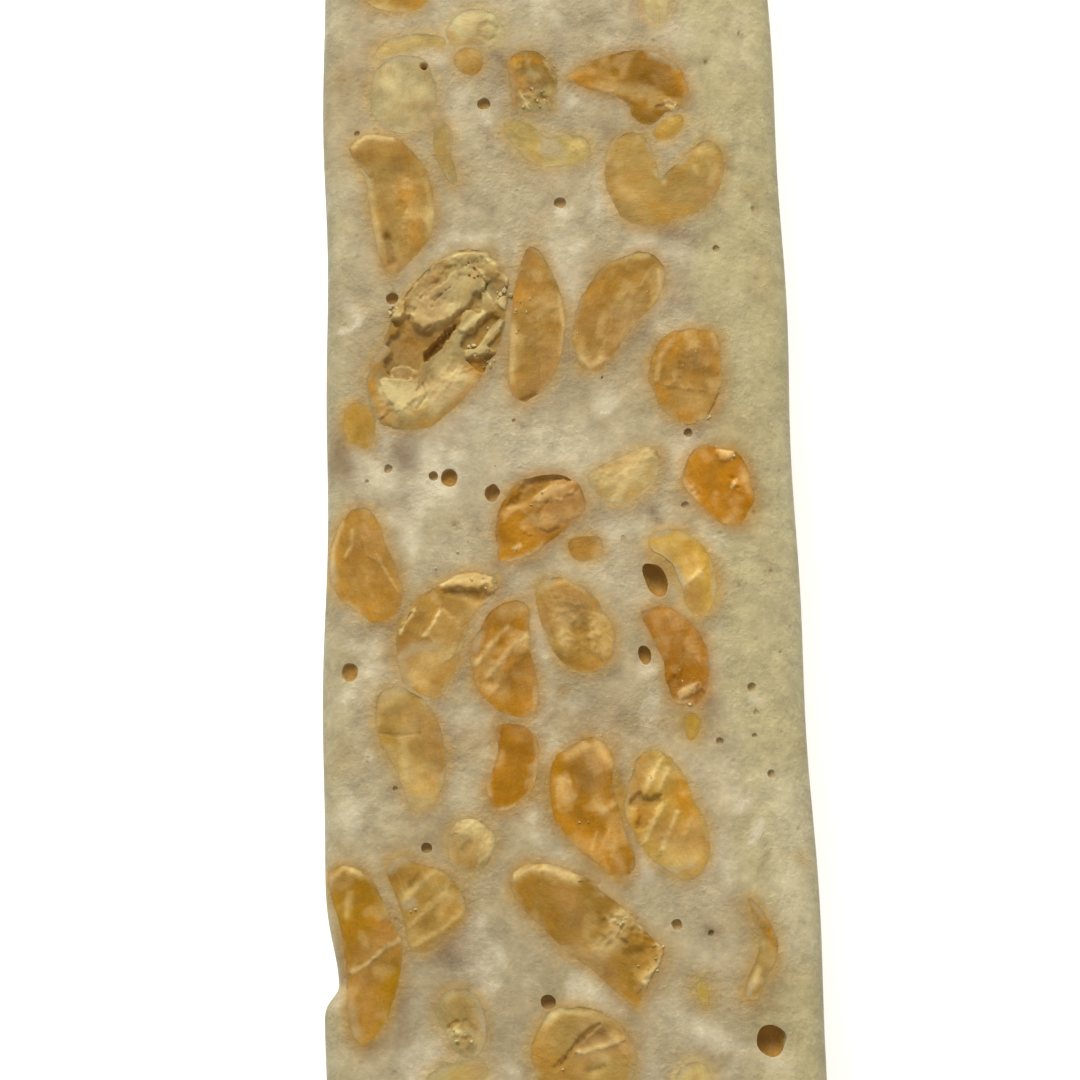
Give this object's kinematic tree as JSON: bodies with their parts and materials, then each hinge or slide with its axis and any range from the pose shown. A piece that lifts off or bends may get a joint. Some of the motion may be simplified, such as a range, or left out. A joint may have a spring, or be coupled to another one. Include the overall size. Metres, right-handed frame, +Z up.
{
  "type": "nougat bar",
  "caption": "Oblong bar of white nougat with roasted peanuts cut flush in its top face, a soft rounded shoulder along one long edge and opened gas bubbles.",
  "frame": {"origin": "centre of the underside's footprint, on the surface that the bar lies on", "axes": "+Y along the bar, +X across it towards the broad rounded shoulder, +Z up out of the cut face with the nuts"},
  "size_m": [0.0364, 0.13, 0.018],
  "materials": {
    "nougat": "chewy aerated white nougat, satin where the knife cut it, slightly yellower and smoother along the shoulders",
    "peanut_pale": "cut face of a lightly roasted peanut kernel, waxy",
    "peanut_tan": "cut face of a roasted peanut kernel, waxy, tan",
    "peanut_golden": "cut face of a roasted peanut kernel, waxy, golden brown",
    "peanut_amber": "cut face of a darkly roasted, oily peanut kernel, amber"
  },
  "bodies": {
    "root": {"nougat": "nougat", "peanut_far_cut": "peanut_golden", "peanut_disc": "peanut_pale", "peanut_ring": "peanut_pale", "peanut_crumbly": "peanut_golden", "peanut_double": "peanut_pale", "peanut_wedge": "peanut_golden", "peanut_heart": "peanut_tan", "peanut_boot": "peanut_tan", "peanut_oblong": "peanut_tan", "peanut_half_moon": "peanut_tan", "peanut_broken": "peanut_pale", "peanut_cup": "peanut_tan", "peanut_vivid": "peanut_amber", "peanut_bean": "peanut_pale", "peanut_flaked": "peanut_golden", "peanut_egg": "peanut_golden", "peanut_crescent": "peanut_pale", "peanut_wrinkled": "peanut_tan", "peanut_ridged": "peanut_tan", "peanut_streaked": "peanut_golden", "peanut_torn_moon": "peanut_golden", "peanut_two_tone": "peanut_tan", "peanut_kidney": "peanut_amber", "peanut_hollowed": "peanut_golden", "peanut_pitted": "peanut_golden", "peanut_round": "peanut_pale", "peanut_side_long": "peanut_amber", "peanut_striped": "peanut_golden", "peanut_largest": "peanut_tan", "peanut_sliver": "peanut_tan", "peanut_crumbs": "peanut_pale", "peanut_small_near": "peanut_pale", "peanut_split": "peanut_tan", "peanut_near_right": "peanut_pale", "peanut_far_1": "peanut_tan", "peanut_far_2": "peanut_golden", "peanut_far_3": "peanut_pale", "peanut_far_4": "peanut_tan", "peanut_far_5": "peanut_amber", "peanut_far_6": "peanut_golden", "peanut_near_1": "peanut_tan", "peanut_near_2": "peanut_golden", "peanut_near_3": "peanut_pale", "peanut_near_4": "peanut_tan", "peanut_near_5": "peanut_amber", "peanut_near_6": "peanut_golden", "peanut_far_end_1": "peanut_tan", "peanut_far_end_2": "peanut_golden", "peanut_near_end_1": "peanut_tan", "peanut_near_end_2": "peanut_golden", "peanut_left_1": "peanut_tan", "peanut_left_2": "peanut_golden", "peanut_left_3": "peanut_pale", "peanut_right_1": "peanut_tan", "peanut_right_2": "peanut_golden", "peanut_base_1": "peanut_tan", "peanut_base_2": "peanut_golden", "peanut_base_3": "peanut_pale", "peanut_base_4": "peanut_tan"}
  },
  "joints": []
}
